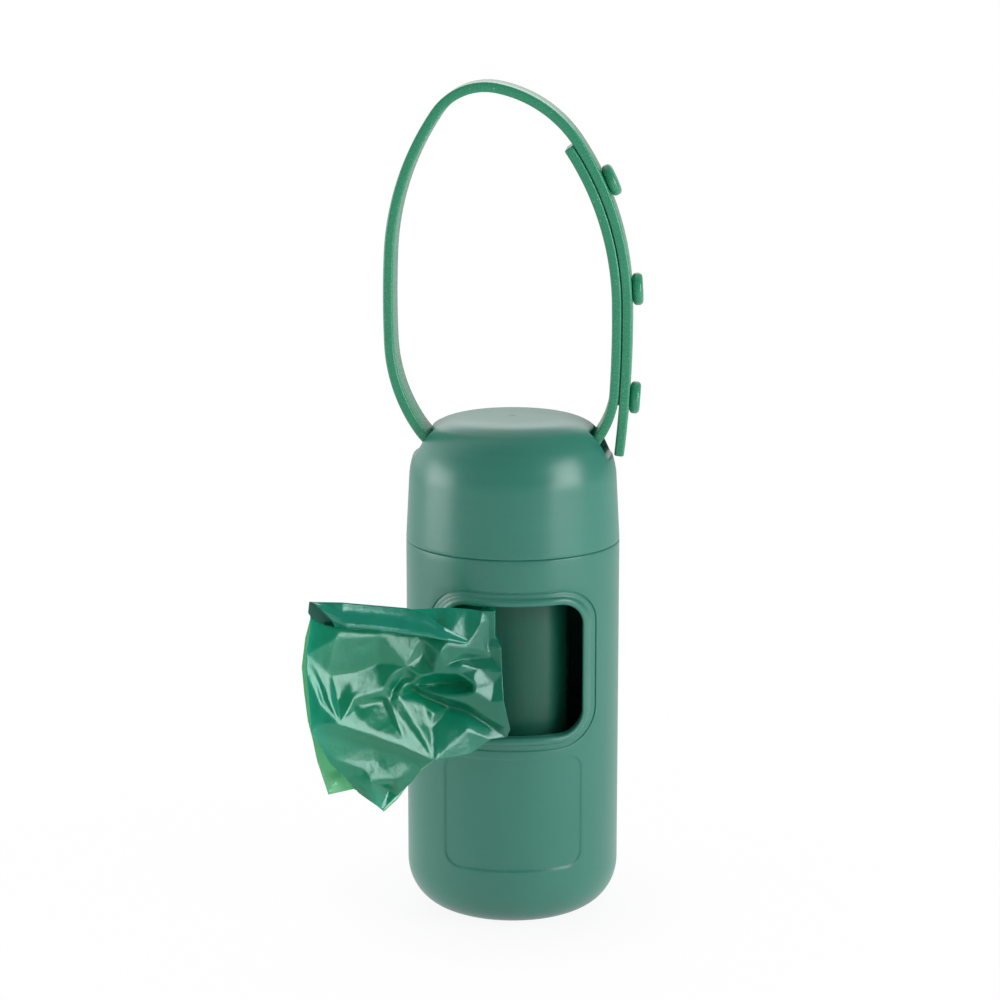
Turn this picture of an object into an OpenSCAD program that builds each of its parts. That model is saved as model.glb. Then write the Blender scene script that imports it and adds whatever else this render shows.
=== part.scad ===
// Pocket dispenser for a roll of dog waste bags. A round body holds the roll, the bags come out
// through a window with a raised lip, and a domed cap fits over the body's neck. A silicone strap
// goes through two slots in the cap and buttons onto itself with three moulded studs.
// The origin is the centre of the flat foot, +Z is up and the window faces -Y.

/* [Body] */
// Outside diameter of the body
body_d = 42; // [41.5:0.5:43]
// Wall thickness of the body and the cap
wall = 1.9; // [1.6:0.1:2.1]
// Height of the seam between the body and the cap
seam_z = 74.5; // [74:0.5:77]
// How far the foot's rounding reaches inwards
foot_round_w = 8; // [7:0.5:9]
// How far the foot's rounding reaches upwards
foot_round_h = 9; // [8:0.5:10]
// Height of the neck above the seam
neck_h = 6.5; // [5:0.5:7]
// Gap between the neck and the inside of the cap
neck_gap = 0.3; // [0.2:0.05:0.4]

/* [Bag window] */
// Width of the window
window_w = 26.8; // [22:0.2:27]
// Height of the window
window_h = 26; // [25.5:0.1:27]
// Height of the window's centre
window_z = 52.5; // [52.1:0.1:52.8]
// Radius of the window's corners
window_r = 4.5; // [3:0.5:6]
// Width of the bead round the window
lip_w = 1.5; // [1:0.1:1.8]
// Height of the bead above the body
lip_h = 0.7; // [0.4:0.1:0.9]

/* [Front panel] */
// Width of the recessed panel
panel_w = 26.6; // [20:0.2:28]
// Height of the recessed panel
panel_h = 22.8; // [18:0.2:23]
// Height of the panel's centre
panel_z = 23.8; // [23.6:0.1:24]
// Radius of the panel's corners
panel_r = 3; // [2:0.5:4]
// Depth of the panel's recess
panel_depth = 0.25; // [0.1:0.05:0.4]

/* [Cap] */
// Height of the whole dispenser without its strap
cap_top_z = 98.8; // [98.6:0.1:99.2]
// Height at which the cap's side turns into the crown
crown_z = 87.2; // [87:0.1:87.4]
// How much narrower the cap is at the crown than at the seam
cap_draft = 0.66; // [0.4:0.02:0.8]
// Angle that the strap's plane is turned from the window's width
cap_turn = 4; // [0:1:6]
// Width of each strap slot
slot_w = 10.8; // [10.6:0.1:11.2]
// Distance from the axis to the inner end of each slot, on the crown
slot_inner = 15.4; // [15.2:0.1:15.5]
// Height of the outer end of each slot
slot_floor_z = 91.4; // [91:0.1:92]

/* [Strap] */
// Width of the strap
strap_w = 10; // [9:0.1:10.2]
// Thickness of the strap
strap_t = 1.9; // [1.7:0.1:2]
// Rounding of the strap's edges
strap_edge_r = 0.5; // [0.3:0.1:0.7]
// Gap between the strap's two buttoned layers
layer_gap = 0.1; // [0.05:0.05:0.2]
// Diameter of a stud's head
stud_head_d = 6.3; // [5.6:0.1:6.8]
// Thickness of a stud's head
stud_head_t = 2; // [1.6:0.1:2.4]
// Diameter of a stud's stem
stud_stem_d = 3.6; // [3:0.1:4]
// Gap between a stem and its hole
hole_gap = 0.2; // [0.1:0.05:0.3]
// Distance from one stud to the next along the strap
stud_pitch = 21; // [18:0.5:22]
// Distance from the first hole to the strap's free end
tail_l = 11; // [9:0.5:12]

/* [Bags] */
// Diameter of the roll of bags
roll_d = 28; // [24:0.5:28.5]
// Length of the roll, which is the width of a folded bag
roll_l = 62; // [58:0.5:63]
// Outside diameter of the paper core
core_d = 13; // [11:0.5:15]
// Wall of the paper core
core_t = 0.9; // [0.6:0.1:1.2]
// How far the roll leans to the window's left
roll_shift = 3.5; // [2:0.1:3.6]
// How far the pulled bag stands out to the left of the axis
bag_reach = 41; // [36:1:44]

/* [Hidden] */
$fn = 96;
far = 60;

body_r = body_d / 2;
bore_r = body_r - wall;
neck_wall = 1.4;
neck_r = bore_r - neck_gap;
neck_bore_r = neck_r - neck_wall;
neck_root = 1.6;
neck_slope = neck_root + bore_r - neck_bore_r;
seam_chamfer = 0.35;
round_steps = 14;

lip_root = 0.6;
groove_w = 0.35;
groove_depth = 0.2;
groove_offset = 0.9;

cap_r = body_r - cap_draft;
cap_bore_r = cap_r - wall + 0.1;
crown_h = cap_top_z - crown_z;
crown_side = 5.6;
crown_top = 1.52;
gate_r = 0.7;
gate_depth = 0.25;
slot_lean = 32;

// The loop's arcs from the left slot up, over and down to the free end, each [radius, turn].
left_slot = [-18.5, 97.2, 123.4];
loop_arcs = [[32, 31.2], [200, 4.9], [52, 31.9], [11.5, 66.3], [24, 45], [57, 33], [230, 7.4]];
// The inner layer starts under the sixth arc and follows the loop before it bends to its slot.
layer_step = strap_t + layer_gap;
inner_from = 5;
inner_arcs = [[57 - layer_step, 33], [230 - layer_step, 4.3], [18, 20]];
under_r = 18;
ring_turn = 5;
edge_step = 45;
head_gap = 0.05;
head_edge = 0.7;

roll_z = 4.1;
core_gap = 0.05;
core_inset = 0.6;
roll_edge = 0.6;

bag_t = 4;
bag_y = 21.2;
bag_lean = 14;
bag_gap = 0.4;
bag_neck = 1.2;
// The bunch's outline: how far out, as a share of its reach, and height.
bag_outline = [
    [-0.96, 68.6], [-0.51, 66.6], [-0.27, 65.9], [-0.2, 64.8], [-0.05, 64.8], [-0.03, 40.2],
    [-0.12, 40.2], [-0.26, 37.6], [-0.45, 34.9], [-0.62, 27.5], [-0.79, 31.4], [-0.9, 31.1],
    [-0.96, 43.7], [-1, 57.5], [-0.98, 63.3]
];

green_body = "#3f8a73";
green_strap = "#2c8a63";
green_film = "#0f7a58";
green_roll = "#2a6b55";
brown_core = "#b39a78";

// Points of a quarter ellipse from angle a0 to angle a1 about c.
function ellipse_points(c, w, h, a0, a1) =
    [for (i = [0:round_steps]) let (a = a0 + (a1 - a0) * i / round_steps) c + [w * cos(a), h * sin(a)]];

// Points of the crown's outline, a superellipse of radius r and height h, from angle a0 to angle a1.
function crown_points(r, h, a0, a1) =
    [for (i = [0:round_steps]) let (a = a0 + (a1 - a0) * i / round_steps)
        [r * pow(cos(a), 2 / crown_side), crown_z + h * pow(sin(a), 2 / crown_top)]];

// A rectangle with round corners, about the origin.
module round_rect(w, h, r) {
    square([w - 2 * r, h], center = true);
    square([w, h - 2 * r], center = true);
    for (x = [-1, 1], z = [-1, 1]) {
        translate([x * (w / 2 - r), z * (h / 2 - r)]) circle(r);
    }
}

// An opening of a round_rect outline through the front of the body, centred at height z.
module front_prism(z, w, h, r) {
    translate([0, 0, z]) rotate([90, 0, 0]) linear_extrude(far) round_rect(w, h, r);
}

// The part of a tube between two radii that lies inside a front_prism.
module front_skin(r_in, r_out, z, w, h, r) {
    intersection() {
        translate([0, 0, z - h]) difference() {
            cylinder(h = 2 * h, r = r_out);
            translate([0, 0, -1]) cylinder(h = 2 * h + 2, r = r_in);
        }
        front_prism(z, w, h, r);
    }
}

// The body's wall, foot, shoulder and neck, turned about Z.
module housing_shell() {
    neck_top = seam_z + neck_h;
    rotate_extrude() polygon(concat(
        [[0, 0]],
        ellipse_points([body_r - foot_round_w, foot_round_h], foot_round_w, foot_round_h, -90, 0),
        [
            [body_r, seam_z - seam_chamfer],
            [body_r - seam_chamfer, seam_z],
            [neck_r, seam_z],
            [neck_r, neck_top - seam_chamfer],
            [neck_r - seam_chamfer, neck_top],
            [neck_bore_r, neck_top],
            [neck_bore_r, seam_z - neck_root],
            [bore_r, seam_z - neck_slope]
        ],
        ellipse_points([body_r - foot_round_w, foot_round_h], foot_round_w - wall, foot_round_h - wall, 0, -90),
        [[0, wall]]
    ));
}

module housing() color(green_body) difference() {
    union() {
        housing_shell();
        front_skin(body_r - lip_root, body_r + lip_h / 2, window_z,
            window_w + 2 * lip_w, window_h + 2 * lip_w, window_r + lip_w);
        front_skin(body_r - lip_root, body_r + lip_h, window_z,
            window_w + 1.4 * lip_w, window_h + 1.4 * lip_w, window_r + 0.7 * lip_w);
    }
    front_prism(window_z, window_w, window_h, window_r);
    front_skin(body_r - panel_depth, body_r + 1, panel_z, panel_w, panel_h, panel_r);
    difference() {
        front_skin(body_r - groove_depth, body_r + 1, window_z,
            window_w + 2 * (lip_w + groove_offset + groove_w),
            window_h + 2 * (lip_w + groove_offset + groove_w),
            window_r + lip_w + groove_offset + groove_w);
        front_prism(window_z,
            window_w + 2 * (lip_w + groove_offset),
            window_h + 2 * (lip_w + groove_offset),
            window_r + lip_w + groove_offset);
    }
}

// One strap slot, cut square through the shoulder of the crown on the +X side.
module slot_cutter() {
    depth = 8;
    reach = 12;
    translate([slot_inner, 0, 96]) rotate([0, slot_lean, 0])
        translate([0, -slot_w / 2, -depth]) cube([reach, slot_w, 2 * depth]);
}

module cap() color(green_body) rotate([0, 0, -cap_turn]) difference() {
    rotate_extrude() polygon(concat(
        [[bore_r, seam_z], [body_r - seam_chamfer, seam_z], [body_r, seam_z + seam_chamfer]],
        crown_points(cap_r, crown_h, 0, 90),
        crown_points(cap_bore_r, crown_h - wall, 90, 0),
        [[bore_r, seam_z + neck_h + 1]]
    ));
    for (side = [0, 180]) {
        rotate([0, 0, side]) intersection() {
            slot_cutter();
            translate([0, -far / 2, slot_floor_z]) cube(far);
        }
    }
    translate([0, 0, cap_top_z - gate_depth]) cylinder(h = 1, r = gate_r);
}

// A pose on the strap is [x, z, heading], in the strap's own plane. An arc is [radius, turn],
// always to the right, and path_pose gives the pose after the first n arcs of a path.
function right_centre(p, r) = [p[0] + r * sin(p[2]), p[1] - r * cos(p[2])];
function after_arc(p, arc) =
    let (c = right_centre(p, arc[0]), h = p[2] - arc[1])
        [c[0] - arc[0] * sin(h), c[1] + arc[0] * cos(h), h];
function path_pose(start, arcs, n) = n == 0 ? start : after_arc(path_pose(start, arcs, n - 1), arcs[n - 1]);
function moved_in(p, d) = [p[0] + d * sin(p[2]), p[1] - d * cos(p[2]), p[2]];
function arc_length(arc) = arc[0] * arc[1] * PI / 180;

// The pose at distance s before the end of a path.
function pose_before_end(start, arcs, s, n) =
    let (l = arc_length(arcs[n - 1]))
        s > l ? pose_before_end(start, arcs, s - l, n - 1)
              : after_arc(path_pose(start, arcs, n - 1), [arcs[n - 1][0], arcs[n - 1][1] * (1 - s / l)]);

// The poses along one arc, a ring of the strap's section for every ring_turn degrees or less.
function arc_poses(p, arc) =
    let (n = ceil(arc[1] / ring_turn)) [for (i = [1:n]) after_arc(p, [arc[0], arc[1] * i / n])];

// The poses along a whole path of arcs.
function path_poses(start, arcs) = concat([start],
    [for (i = [0:len(arcs) - 1]) each arc_poses(path_pose(start, arcs, i), arcs[i])]);

// The run under the crown: an arc down from one slot, a straight and an arc up to the other slot.
function under_crown_poses(from, to) =
    let (
        c1 = right_centre(from, under_r),
        c2 = right_centre(to, under_r),
        heading = atan2(c2[1] - c1[1], c2[0] - c1[0]) - 360,
        arc_down = [under_r, (from[2] - heading + 720) % 360],
        arc_up = [under_r, (heading - to[2] + 720) % 360],
        low = after_arc(from, arc_down)
    )
    concat(arc_poses(from, arc_down), arc_poses([low[0] + c2[0] - c1[0], low[1] + c2[1] - c1[1], heading], arc_up));

// The strap's section, a rectangle with rounded edges: [outwards, across].
strap_section = [for (corner = [[1, 1, 0], [-1, 1, 90], [-1, -1, 180], [1, -1, 270]], a = [0:edge_step:90])
    [corner[0] * (strap_t / 2 - strap_edge_r) + strap_edge_r * cos(corner[2] + a),
     corner[1] * (strap_w / 2 - strap_edge_r) + strap_edge_r * sin(corner[2] + a)]];

// The section swept along a list of poses, as one closed band.
module swept_band(poses) {
    n = len(strap_section);
    rings = len(poses);
    polyhedron(
        points = [for (p = poses, q = strap_section) [p[0] - q[0] * sin(p[2]), q[1], p[1] + q[0] * cos(p[2])]],
        faces = concat(
            [[for (j = [n - 1:-1:0]) j]],
            [for (i = [0:rings - 2], j = [0:n - 1]) let (k = (j + 1) % n)
                [i * n + j, i * n + k, (i + 1) * n + k, (i + 1) * n + j]],
            [[for (j = [0:n - 1]) (rings - 1) * n + j]]
        )
    );
}

// A stud on the inner layer, whose stem goes through the outer layer at pose p.
module strap_stud(p) {
    head_r = stud_head_d / 2;
    translate([p[0], 0, p[1]]) rotate([0, -p[2], 0]) {
        translate([0, 0, -layer_step]) cylinder(h = layer_step + strap_t / 2 + 0.5, d = stud_stem_d);
        translate([0, 0, strap_t / 2 + head_gap]) rotate_extrude() polygon(concat(
            [[0, 0], [head_r - head_edge, 0]],
            ellipse_points([head_r - head_edge, head_edge], head_edge, head_edge, -90, 0),
            ellipse_points([head_r - head_edge, stud_head_t - head_edge], head_edge, head_edge, 0, 90),
            [[0, stud_head_t]]
        ));
    }
}

module strap_hole(p) {
    translate([p[0], 0, p[1]]) rotate([0, -p[2], 0])
        translate([0, 0, -(strap_t + layer_gap) / 2]) cylinder(h = 2 * strap_t, d = stud_stem_d + 2 * hole_gap);
}

module strap() color(green_strap) rotate([0, 0, -cap_turn]) {
    holes = [for (i = [0:2]) pose_before_end(left_slot, loop_arcs, tail_l + i * stud_pitch, len(loop_arcs))];
    inner_start = moved_in(path_pose(left_slot, loop_arcs, inner_from), layer_step);
    inner_poses = path_poses(inner_start, inner_arcs);
    difference() {
        swept_band(concat(
            inner_poses,
            under_crown_poses(inner_poses[len(inner_poses) - 1], left_slot),
            [for (i = [0:len(loop_arcs) - 1]) each arc_poses(path_pose(left_slot, loop_arcs, i), loop_arcs[i])]
        ));
        for (p = holes) {
            strap_hole(p);
        }
    }
    for (p = holes) {
        strap_stud(p);
    }
}

module bag_roll() color(green_roll) translate([-roll_shift, 0, roll_z]) rotate_extrude() polygon([
    [core_d / 2 + core_gap, 0],
    [roll_d / 2 - roll_edge, 0],
    [roll_d / 2, roll_edge],
    [roll_d / 2, roll_l - roll_edge],
    [roll_d / 2 - roll_edge, roll_l],
    [core_d / 2 + core_gap, roll_l]
]);

module roll_core() color(brown_core) translate([-roll_shift, 0, roll_z + core_inset]) difference() {
    cylinder(h = roll_l - 2 * core_inset, d = core_d);
    translate([0, 0, -1]) cylinder(h = roll_l, d = core_d - 2 * core_t);
}

// The pulled bag: a crumpled bunch of film that leaves the roll, passes through the window's left
// half and stands out past the body's left side.
module pulled_bag() color(green_film) difference() {
    union() {
        translate([0, -bag_y, 0]) rotate([90, 0, bag_lean]) translate([0, 0, -bag_t / 2])
            linear_extrude(bag_t) polygon([for (p = bag_outline) [p[0] * bag_reach, p[1]]]);
        intersection() {
            front_prism(window_z, window_w - 2 * bag_gap, window_h - 2 * bag_gap, window_r);
            translate([-body_r - bag_neck, -bag_y - bag_t / 2, 0]) cube([body_r, bag_y, far + window_z]);
        }
    }
    translate([-roll_shift, 0, 0]) cylinder(h = far + window_z, d = roll_d + 2 * bag_gap);
}

housing();
cap();
strap();
bag_roll();
roll_core();
pulled_bag();
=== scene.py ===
import math
from math import radians

import bmesh
import bpy
import numpy as np
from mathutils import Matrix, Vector
from mathutils.geometry import delaunay_2d_cdt


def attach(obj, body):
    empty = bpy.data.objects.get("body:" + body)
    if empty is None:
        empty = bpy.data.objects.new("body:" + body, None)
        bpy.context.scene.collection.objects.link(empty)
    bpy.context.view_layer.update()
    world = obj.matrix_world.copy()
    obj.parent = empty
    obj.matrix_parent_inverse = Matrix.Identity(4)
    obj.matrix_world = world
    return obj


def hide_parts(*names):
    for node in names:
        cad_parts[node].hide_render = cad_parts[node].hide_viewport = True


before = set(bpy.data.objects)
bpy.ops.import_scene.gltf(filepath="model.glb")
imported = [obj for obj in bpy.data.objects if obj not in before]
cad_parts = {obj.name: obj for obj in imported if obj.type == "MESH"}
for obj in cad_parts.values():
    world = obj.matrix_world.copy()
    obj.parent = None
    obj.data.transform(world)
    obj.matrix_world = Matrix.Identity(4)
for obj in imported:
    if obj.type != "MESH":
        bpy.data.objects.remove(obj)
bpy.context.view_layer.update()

# A pocket dispenser for a roll of dog waste bags: its finishes, its smooth shells, its strap, its
# roll and the bag that is pulled out. Lengths are in millimetres up to add_piece, which makes metres.
MM = 0.001
FRONT = (0, -1)

# Body, from the foot up
BODY_R = 21.0
WALL = 1.9
BORE_R = BODY_R - WALL
WALL_TOP_Z = 72.8
SEAM_Z = 74.5
SEAM_ROUND = 0.3
FOOT_W = 8.0
FOOT_H = 9.0
FLOOR_RING_R = 5.0
NECK_H = 6.5
NECK_R = 18.8
NECK_BORE_R = NECK_R - 1.4
NECK_ROOT_Z = SEAM_Z - 1.6
NECK_ROUND = 0.35
NECK_FILLET = 0.2
THREAD_Z = SEAM_Z + 1.3
THREAD_TURNS = 1.6
THREAD_PITCH = 2.2
THREAD_FADE = 0.5
# The thread's section, each (out from the neck, up)
THREAD_SECTION = np.array([[-0.5, -0.6], [-0.02, -0.55], [0.18, -0.18], [0.18, 0.18], [-0.02, 0.55],
                           [-0.5, 0.6]])

# Window with its bead and groove, and the bare panel below it
WINDOW = dict(z=52.5, w=26.8, h=26.0, r=4.5)
BEAD_W = 1.5
BEAD_H = 0.7
GROOVE_OFFSET = 0.9
GROOVE_W = 0.35
GROOVE_DEPTH = 0.2
PANEL = dict(z=23.8, w=26.6, h=22.8, r=3.0)
PANEL_DEPTH = 0.25
# They lie in two square patches: half their angle, the heights that part them, and the quads along
# a long side, a short side and a corner
PATCH_HALF = radians(56)
PATCH_Z = (10.4, 36.0, 71.0)
PATCH_GRID = (22, 14, 16)

# Cap
CAP_TOP_Z = 98.8
CROWN_Z = 87.2
CAP_R = BODY_R - 0.66
CAP_BORE_R = CAP_R - WALL + 0.1
SKIRT_ROUND = 0.35
CROWN_SIDE = 5.6
CROWN_TOP = 1.52
CAP_TURN = radians(4)
SLOT = dict(w=10.8, h=4.0, r=0.8)
SLOT_GRID = (12, 8, 8)
SLOT_PATCH_HALF = radians(30)
SLOT_MARGIN = 0.9
SLOT_INNER = (15.4, 96.0)
SLOT_LEAN = radians(32)
SLOT_FLOOR_Z = 91.4
# The slot's rounded rim: steps of (out from its outline, share of the wall's depth)
SLOT_RIM = [(0.3, 0), (0.16, 0.01), (0.06, 0.05), (0.01, 0.1), (0, 0.18)]
GATE_R = 0.7
GATE_DEPTH = 0.08
FINE_STEPS = 1500

# Strap: poses are (x, z, heading in degrees) in the strap's plane, arcs are (radius, turn right)
STRAP_W = 10.0
STRAP_T = 1.9
STRAP_EDGE = 0.5
STRAP_END = 0.35
LAYER_STEP = STRAP_T + 0.1
LEFT_SLOT = (-18.5, 97.2, 123.4)
LOOP_ARCS = [(32, 31.2), (200, 4.9), (52, 31.9), (11.5, 66.3), (24, 45), (57, 33), (230, 7.4)]
INNER_FROM = 5
INNER_ARCS = [(57 - LAYER_STEP, 33), (230 - LAYER_STEP, 4.3), (18, 20)]
UNDER_R = 18.0
TAIL = 11.0
STUD_PITCH = 21.0
STUD_HEAD_R = 3.15
STUD_HEAD_T = 2.0
STUD_RIM = 0.85
STUD_STEM_R = 1.8
STUDS = 3

# Roll of bags, round the paper core: its end faces are stairs of turns, each out by up to STAIR_H
ROLL_X = -3.5
ROLL_Z = 4.1
ROLL_R = 14.0
ROLL_L = 62.0
CORE_R = 6.5
ROLL_RIM = 0.45
STAIR_TURNS = 22
STAIR_H = 0.45
FILM_T = 0.06
# The loose turn: the angles that it spans, then where and how far it bulges
TURN_SPAN = (-42, 74)
TURN_AT = 43
TURN_HALF = 45
TURN_H = 3.2

# Camera: where it stands, how far it tips down, and its lens
CAMERA_AT = (-2.53, -545.2, 197.2)
CAMERA_TIP = 0.2083
CAMERA_LENS = 102.02

# Lamps: name, azimuth from the front towards +X, elevation, width, height and brightness
LAMP_AWAY = 550.0
LAMP_AIM_Z = 70.0
LAMPS = [
    ("soft_box_right", 64, 16, 290, 290, 5.6),
    ("soft_box_left", -88, 5, 360, 220, 4.0),
    ("strip_right", 46, 2, 50, 160, 6.0),
    ("box_behind", 180, 27, 500, 160, 1.5),
]
FLOOR_HALF = 6000.0


# ---- nodes

def math_node(operation, swapped=False):
    """A method that adds one Math node."""
    def method(first, second):
        sockets = {0: second, 1: first} if swapped else {0: first, 1: second}
        return first.nodes.node("Math", {"operation": operation}, sockets)
    return method


class Field:
    """A number on its way through the nodes. Python's + - * and / each add one Math node."""

    def __init__(self, nodes, socket):
        self.nodes = nodes
        self.socket = socket

    __add__ = __radd__ = math_node("ADD")
    __sub__ = math_node("SUBTRACT")
    __rsub__ = math_node("SUBTRACT", swapped=True)
    __mul__ = __rmul__ = math_node("MULTIPLY")
    __truediv__ = math_node("DIVIDE")


class Nodes:
    """A node tree that is built up by node() and by sums of its Fields."""

    def __init__(self, tree):
        self.tree = tree
        tree.nodes.clear()

    def node(self, kind, settings=None, sockets=None, out=0):
        """Adds a node: first its settings, a ramp's stops among them, then its sockets' values or links."""
        made = self.tree.nodes.new("ShaderNode" + kind)
        for key, value in (settings or {}).items():
            if key == "stops":
                elements = made.color_ramp.elements
                for place, _ in value[2:]:
                    elements.new(place)
                for element, (place, level) in zip(elements, value):
                    element.position = place
                    element.color = (level, level, level, 1)
            else:
                setattr(made, key, value)
        for key, value in (sockets or {}).items():
            if isinstance(value, Field):
                self.tree.links.new(value.socket, made.inputs[key])
            else:
                made.inputs[key].default_value = value
        return Field(self, made.outputs[out])

    def noise(self, size, detail=3.0, stretch=(1, 1, 1)):
        """Noise whose blobs are about size millimetres wide, times stretch along each axis."""
        place = self.node("TexCoord", out="Object")
        scale = [1 / (size * MM * s) for s in stretch]
        spread = self.node("Mapping", {}, {"Vector": place, "Scale": scale})
        return self.node("TexNoise", {}, {"Vector": spread, "Scale": 1.0, "Detail": detail})

    def ramp(self, level, *stops):
        """A level carried through stops, each (place, grey level)."""
        return self.node("ValToRGB", {"stops": stops}, {"Fac": level})

    def mix(self, amount, low, high):
        """The colour low where amount is 0 and high where it is 1."""
        return self.node("Mix", {"data_type": "RGBA"}, {0: amount, 6: low, 7: high}, out=2)

    def bump(self, height, depth):
        """A bump whose height of 0 to 1 stands for depth millimetres."""
        return self.node("Bump", {}, {"Height": height, "Distance": depth * MM, "Strength": 1.0})

    def surface(self, shader, kind="OutputMaterial"):
        """Links a shader to the tree's own output."""
        output = self.tree.nodes.new("ShaderNode" + kind)
        self.tree.links.new(shader.socket, output.inputs["Surface"])


def finish(name, fill, *look):
    """A material whose nodes are made by fill, one of the functions below, from its look."""
    material = bpy.data.materials.new(name)
    material.use_nodes = True
    fill(Nodes(material.node_tree), *look)
    return material


def shade(rgb, factor):
    """A colour times a factor, with its alpha."""
    return tuple(min(1.0, c * factor) for c in rgb) + (1.0,)


def one_shader(n, colour, rough, normal, specular):
    """The surface of a finish that is one plain shader."""
    n.surface(n.node("BsdfPrincipled", {}, {
        "Base Color": colour, "Roughness": rough, "Normal": normal, "Specular IOR Level": specular}))


def moulded_plastic(n, rgb, streaks):
    """Satin moulded plastic: a fine grain, soft clouding and faint level flow streaks."""
    grain = n.noise(0.22, 2)
    cloud = n.noise(14, 2)
    flow = n.noise(1.0, 3, stretch=(26, 26, 1))
    tone = cloud * 0.6 + flow * streaks
    colour = n.mix(n.ramp(tone, (0.2, 0), (0.8, 1)), shade(rgb, 0.93), shade(rgb, 1.07))
    one_shader(n, colour, 0.27 + cloud * 0.04 + flow * 0.06, n.bump(grain, 0.008), 0.68)


def silicone(n, rgb):
    """Soft silicone rubber with a dusty bloom and tiny pale specks."""
    dust = n.noise(0.35, 2)
    cloud = n.noise(6, 2)
    specks = n.ramp(dust, (0.70, 0), (0.76, 1))
    plain = n.mix(cloud, shade(rgb, 0.9), shade(rgb, 1.1))
    colour = n.mix(specks * 0.6, plain, shade((0.45, 0.75, 0.6), 1))
    one_shader(n, colour, 0.22 + dust * 0.1, n.bump(dust, 0.006), 0.6)


# Painted shade: this mask marks the inside of the flap's open end, where the film is darkened in place of the
# shade that falls there.
def painted_flap_shade(n):
    """1 inside the flap's open end, beyond the plane through its front rim, and 0 on the rest of it."""
    place = n.node("TexCoord", out="Object")
    along = n.node("VectorMath", {"operation": "DOT_PRODUCT"}, {0: place, 1: MOUTH_AWAY}, out="Value")
    return n.ramp((along / MM - MOUTH_AT) / MOUTH_FADE + 0.5, (0, 0), (1, 1))


def bag_film(n, rgb, through, share, painted_shade=None):
    """Thin glossy film: what its face scatters, mixed by share with the light that comes through it.
    Where its optional mask gives 1, shade is painted: the film is darker and duller there and lets less light
    through."""
    crinkle = n.noise(1.6, 3)
    fine = n.noise(0.5, 2)
    cloud = n.noise(5, 2)
    colour = n.mix(cloud, shade(rgb, 0.85), shade(rgb, 1.15))
    normal = n.bump(crinkle * 0.8 + fine * 0.2, 0.1)
    rough = 0.17 + cloud * 0.1
    coat = 0.9
    # Painted shade inside the flap's open end: darker colour, rougher and less coated film, and less light
    # let through.
    if painted_shade:
        painted_shade_amount = painted_shade(n)
        colour = n.mix(painted_shade_amount, colour, shade(rgb, 0.4))
        rough = rough + painted_shade_amount * 0.5
        coat = coat - painted_shade_amount * coat
        share = share - painted_shade_amount * (share * 0.85)
    face = n.node("BsdfPrincipled", {}, {
        "Base Color": colour, "Roughness": rough, "Normal": normal,
        "IOR": 1.6, "Specular IOR Level": 1.0, "Specular Tint": (0.64, 1.0, 0.92, 1.0),
        "Coat Weight": coat, "Coat Roughness": 0.17})
    back = n.node("BsdfTranslucent", {}, {"Color": shade(through, 1), "Normal": normal})
    n.surface(n.node("MixShader", {}, {0: share, 1: face, 2: back}))


def wound_film(n, rgb):
    """The roll's outer turn: film wound tight, with faint tension lines along it and level rings."""
    lines = n.noise(1.2, 3, stretch=(1, 1, 14))
    rings = n.noise(0.5, 2, stretch=(8, 8, 1))
    colour = n.mix(lines, shade(rgb, 0.85), shade(rgb, 1.15))
    normal = n.bump(lines * 0.7 + rings * 0.3, 0.05)
    one_shader(n, colour, 0.36 + lines * 0.08, normal, 0.6)


def core_board(n, rgb):
    """Dull paperboard, brown with short level fibres and soft clouding."""
    fibre = n.noise(0.25, 4, stretch=(3, 3, 1))
    cloud = n.noise(3, 3)
    colour = n.mix(fibre * 0.6 + cloud * 0.4, shade(rgb, 0.75), shade(rgb, 1.2))
    one_shader(n, colour, 0.85, n.bump(fibre, 0.05), 0.5)


# ---- meshes

def quads(rows, columns, wrap=False):
    """Quads of a grid of points in row order. With wrap, the last column joins the first."""
    r, c = np.meshgrid(np.arange(rows - 1), np.arange(columns if wrap else columns - 1), indexing="ij")
    c2 = (c + 1) % columns
    corners = [r * columns + c, r * columns + c2, (r + 1) * columns + c2, (r + 1) * columns + c]
    return np.stack(corners, -1).reshape(-1, 4)


def add_object(name, data):
    """An object, linked to the scene."""
    made = bpy.data.objects.new(name, data)
    bpy.context.scene.collection.objects.link(made)
    return made


def add_piece(name, parts, material, body, replaces=(), closed=True, sharp=40):
    """One object from parts, each (points in mm, faces). Coincident points are merged, and a closed
    piece's faces are turned outwards. Edges bent by more than sharp degrees stay crisp."""
    points, faces, start = [], [], 0
    for part_points, part_faces in parts:
        points.append(np.asarray(part_points, float).reshape(-1, 3))
        faces += (np.asarray(part_faces) + start).tolist()
        start += len(points[-1])
    mesh = bpy.data.meshes.new(name)
    mesh.from_pydata((np.concatenate(points) * MM).tolist(), [], faces)
    tidy = bmesh.new()
    tidy.from_mesh(mesh)
    bmesh.ops.remove_doubles(tidy, verts=tidy.verts, dist=2e-6)
    bmesh.ops.dissolve_degenerate(tidy, edges=tidy.edges, dist=1e-7)
    if closed:
        bmesh.ops.recalc_face_normals(tidy, faces=tidy.faces)
    tidy.to_mesh(mesh)
    tidy.free()
    mesh.shade_smooth()
    mesh.set_sharp_from_angle(angle=radians(sharp))
    mesh.materials.append(material)
    made = add_object(name, mesh)
    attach(made, body)
    if replaces:
        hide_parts(*replaces)
    return made


def run_length(points):
    """The length along a line of points, up to each of them."""
    return np.concatenate([[0], np.cumsum(np.linalg.norm(np.diff(points, axis=0), axis=1))])


def between(near, far, share):
    """near where share is 0, far where it is 1, and their blend between."""
    return near * (1 - share) + far * share


def around(r, a, z):
    """Points at radius r, height z and angle a round Z: (r sin a, -r cos a, z), so angle 0 faces -Y."""
    return np.stack(np.broadcast_arrays(r * np.sin(a), -r * np.cos(a), z), -1)


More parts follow.
